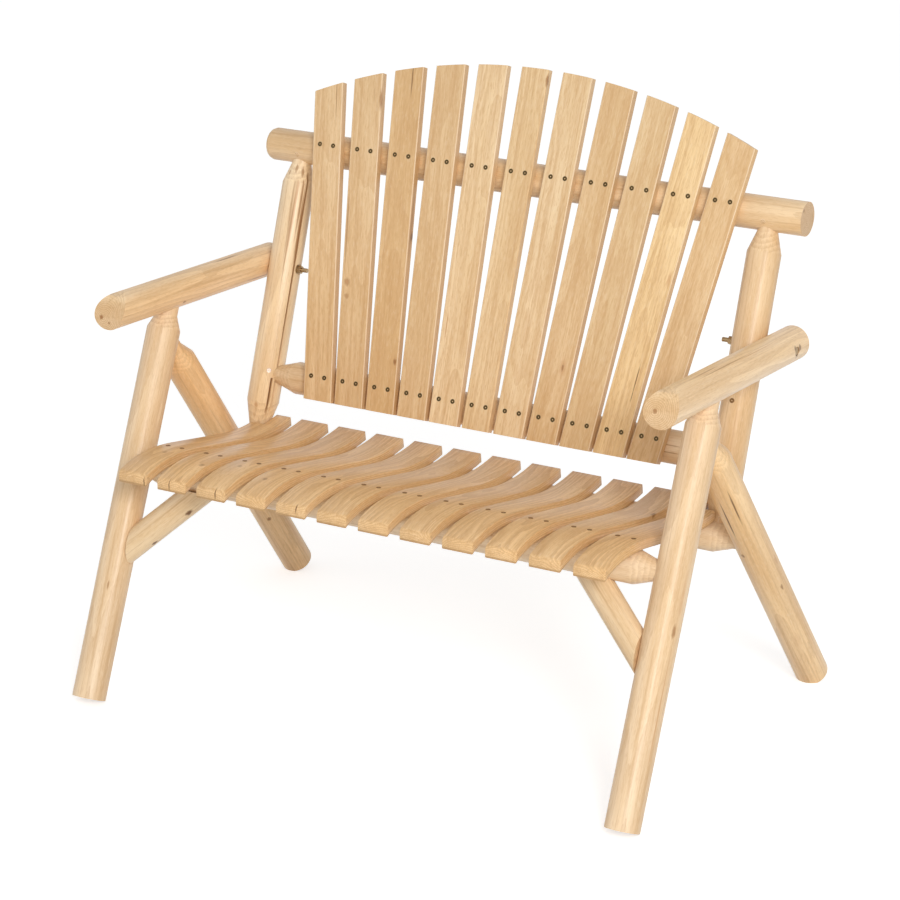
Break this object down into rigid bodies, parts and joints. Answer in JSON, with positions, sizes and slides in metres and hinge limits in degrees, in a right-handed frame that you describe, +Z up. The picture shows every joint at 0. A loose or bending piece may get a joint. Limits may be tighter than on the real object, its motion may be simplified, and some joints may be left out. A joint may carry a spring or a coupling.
{
  "type": "log bench",
  "caption": "Rustic peeled-log garden bench with crossed leaning legs, round armrests, a fanned slat back with an arched top and a wavy slat seat.",
  "frame": {"origin": "on the floor under the middle of the bench", "axes": "+X to the right of someone who faces the bench's front, +Y to the back, +Z up"},
  "size_m": [1.1386, 0.7745, 1.0577],
  "materials": {
    "peeled_log": "clear satin on peeled softwood",
    "back_board": "clear satin on sawn softwood",
    "seat_board": "clear satin on sawn softwood",
    "antique_brass": "antique, brushed"
  },
  "bodies": {
    "root": {"front_leg_left": "peeled_log", "front_leg_right": "peeled_log", "rear_leg_left": "peeled_log", "rear_leg_right": "peeled_log", "back_post_left": "peeled_log", "back_post_right": "peeled_log", "armrest_left": "peeled_log", "armrest_right": "peeled_log", "knee_brace_left": "peeled_log", "knee_brace_right": "peeled_log", "front_seat_rail": "peeled_log", "rear_seat_rail": "peeled_log", "lower_back_rail": "peeled_log", "upper_back_rail": "peeled_log", "back_slat_01": "back_board", "back_slat_02": "back_board", "back_slat_03": "back_board", "back_slat_04": "back_board", "back_slat_05": "back_board", "back_slat_06": "back_board", "back_slat_07": "back_board", "back_slat_08": "back_board", "back_slat_09": "back_board", "back_slat_10": "back_board", "back_slat_11": "back_board", "seat_slat_01": "seat_board", "seat_slat_02": "seat_board", "seat_slat_03": "seat_board", "seat_slat_04": "seat_board", "seat_slat_05": "seat_board", "seat_slat_06": "seat_board", "seat_slat_07": "seat_board", "seat_slat_08": "seat_board", "seat_slat_09": "seat_board", "seat_slat_10": "seat_board", "seat_slat_11": "seat_board", "seat_slat_12": "seat_board", "arm_bolts": "antique_brass", "arm_bolt_washers": "antique_brass", "arm_bolt_nuts": "antique_brass"}
  },
  "joints": []
}
